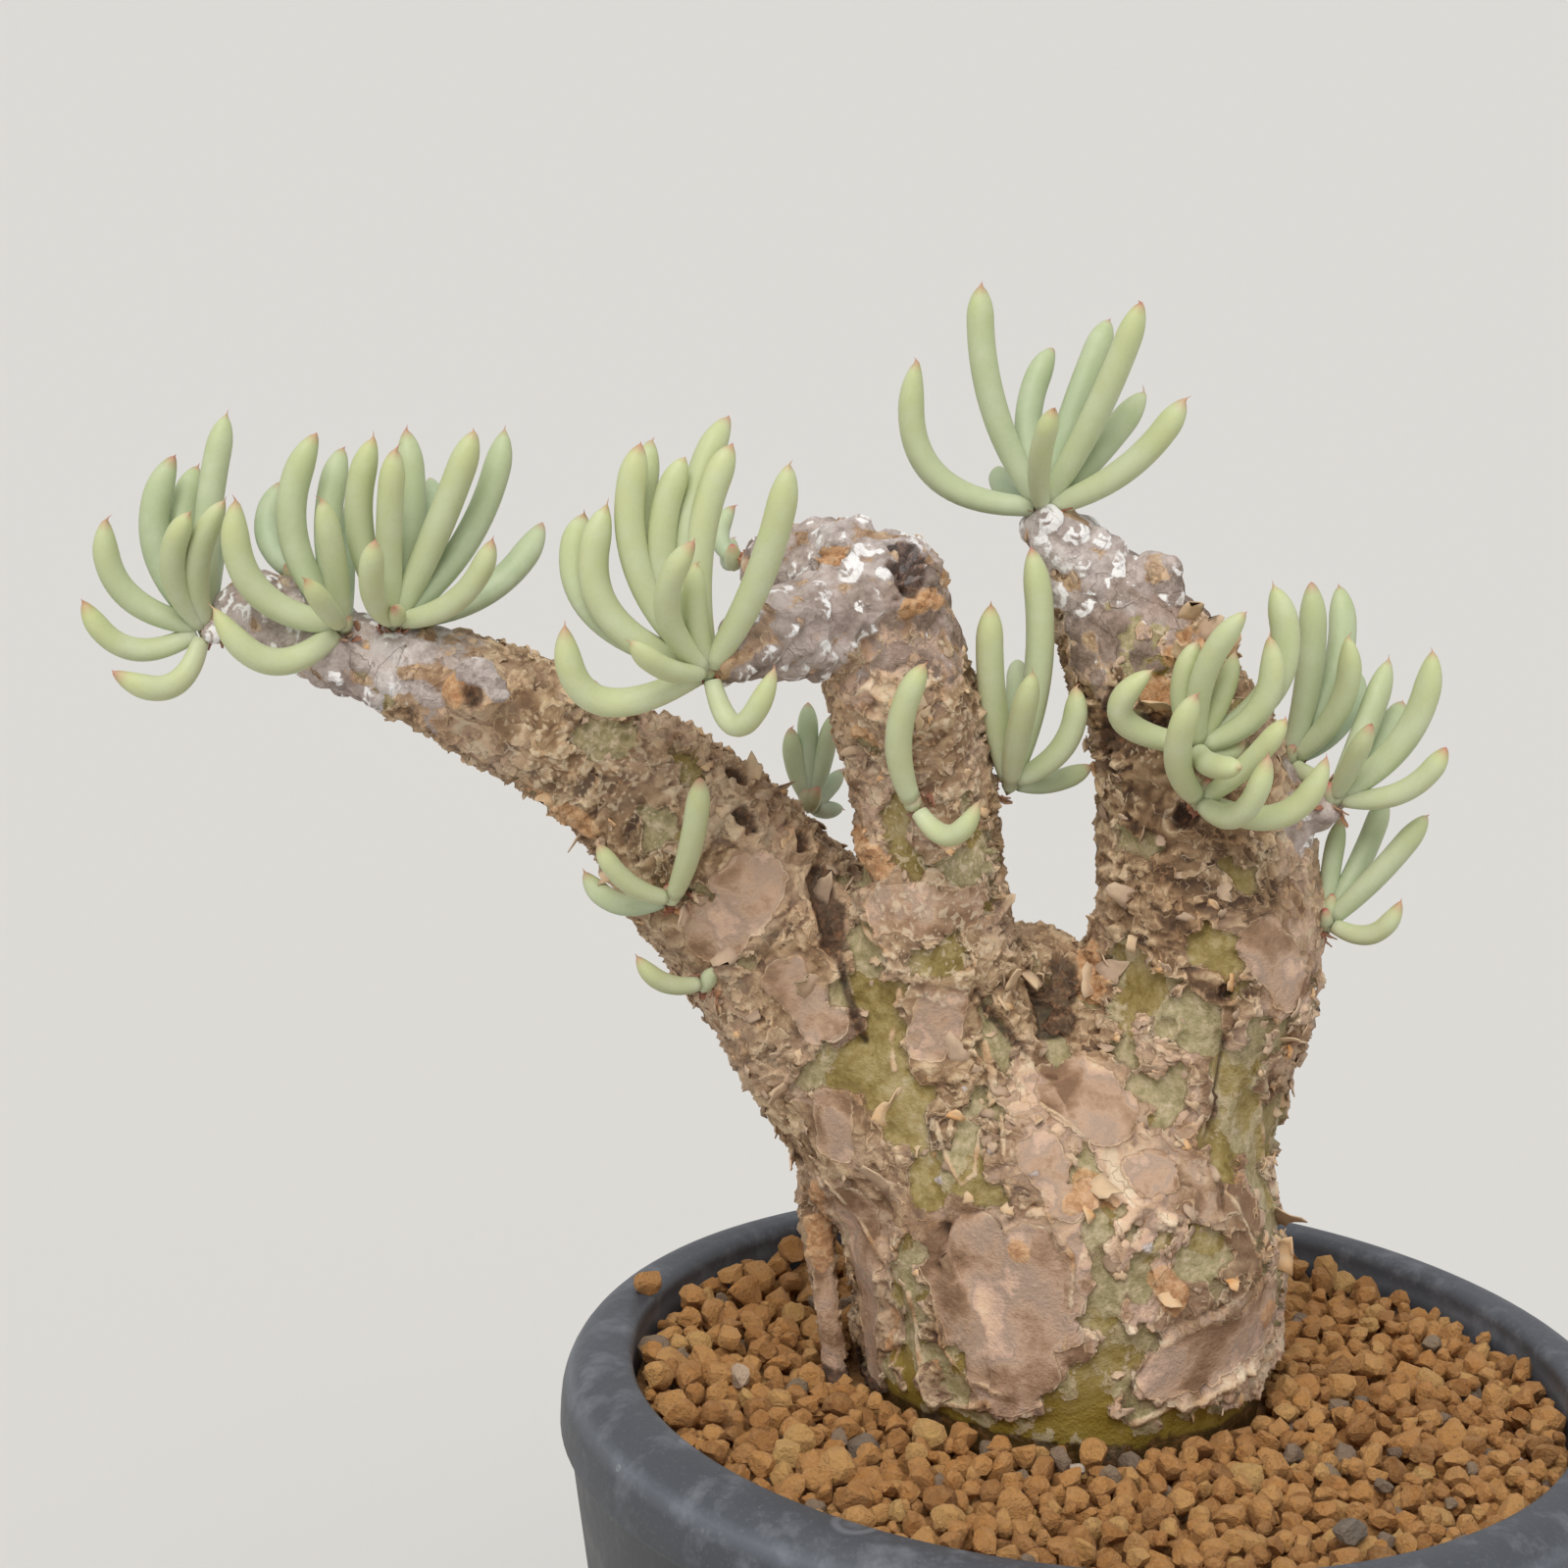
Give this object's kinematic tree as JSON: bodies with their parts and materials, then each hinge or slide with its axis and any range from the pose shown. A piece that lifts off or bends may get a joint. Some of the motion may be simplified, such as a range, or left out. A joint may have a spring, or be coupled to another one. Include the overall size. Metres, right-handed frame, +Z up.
{
  "type": "potted tylecodon pearsonii",
  "caption": "Swollen-trunked succulent with three bark-covered branches and tufts of finger-shaped leaves, growing in clay grit in a round dark pot.",
  "frame": {"origin": "centre of the pot's flat underside", "axes": "+Z up along the pot's axis, +X to the right of the front view, +Y away from the viewer of the front view"},
  "size_m": [0.1542, 0.105, 0.1936],
  "materials": {
    "pot": "matte dark slate-grey moulded plastic, dusty and lightly scuffed",
    "gravel": "rough grey-tan pumice gravel",
    "soil": "dry ochre granules of baked clay",
    "bark": "living grey-tan bark that peels in thin flakes over olive-green skin",
    "leaf": "living pale green succulent leaf with a soft satin skin"
  },
  "bodies": {
    "root": {"pot": "pot", "drainage_gravel": "gravel", "grit_soil": "soil", "caudex": "bark", "leaf_tuft_left_tip": "leaf", "leaf_tuft_left_shoot_back": "leaf", "leaf_tuft_left_middle": "leaf", "leaf_tuft_left_end": "leaf", "leaf_tuft_middle_left": "leaf", "leaf_tuft_middle_back": "leaf", "leaf_tuft_upper_right": "leaf", "leaf_tuft_middle_right": "leaf", "leaf_tuft_middle_front": "leaf", "leaf_tuft_right_front_upper": "leaf", "leaf_tuft_right_front_lower": "leaf", "leaf_tuft_right_outer": "leaf", "leaf_tuft_right_stub": "leaf", "leaf_tuft_right_low": "leaf", "leaf_tuft_left_low": "leaf", "leaf_tuft_left_single": "leaf", "leaf_tuft_back": "leaf"}
  },
  "joints": []
}
